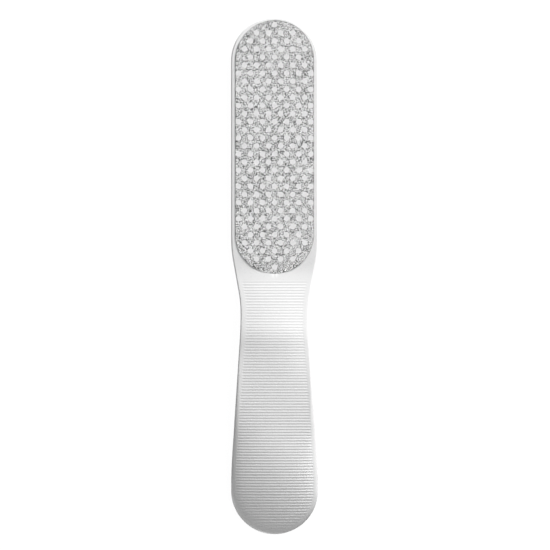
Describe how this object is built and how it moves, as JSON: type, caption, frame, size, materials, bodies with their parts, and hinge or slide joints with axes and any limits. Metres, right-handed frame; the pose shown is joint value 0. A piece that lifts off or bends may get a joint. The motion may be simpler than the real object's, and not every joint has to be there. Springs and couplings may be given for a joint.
{
  "type": "foot file",
  "caption": "Slim double-sided foot file: a flat head with a round-ended abrasive plate on each face and a ribbed, crowned grip.",
  "frame": {"origin": "middle of the file's outline, on the plane that it rests on when it lies on its fine side", "axes": "+X across the file, +Y along it to the head's tip, +Z out of the coarse side"},
  "size_m": [0.0428, 0.255, 0.0115],
  "materials": {
    "handle_front": "moulded white plastic, satin gloss, ribbed on the grip",
    "handle_back": "moulded white plastic, satin gloss, ribbed on the grip",
    "plate_steel": "plated steel sheet, satin",
    "coarse_abrasive": "coarse grit bonded in metal, rough",
    "fine_abrasive": "fine grit bonded in metal, rough",
    "adhesive": "clear acrylic adhesive sheet, matte"
  },
  "bodies": {
    "root": {"front_shell": "handle_front", "back_shell": "handle_back", "coarse_plate": "plate_steel", "fine_plate": "plate_steel", "coarse_grit": "coarse_abrasive", "fine_grit": "fine_abrasive", "coarse_tape": "adhesive", "fine_tape": "adhesive"}
  },
  "joints": []
}
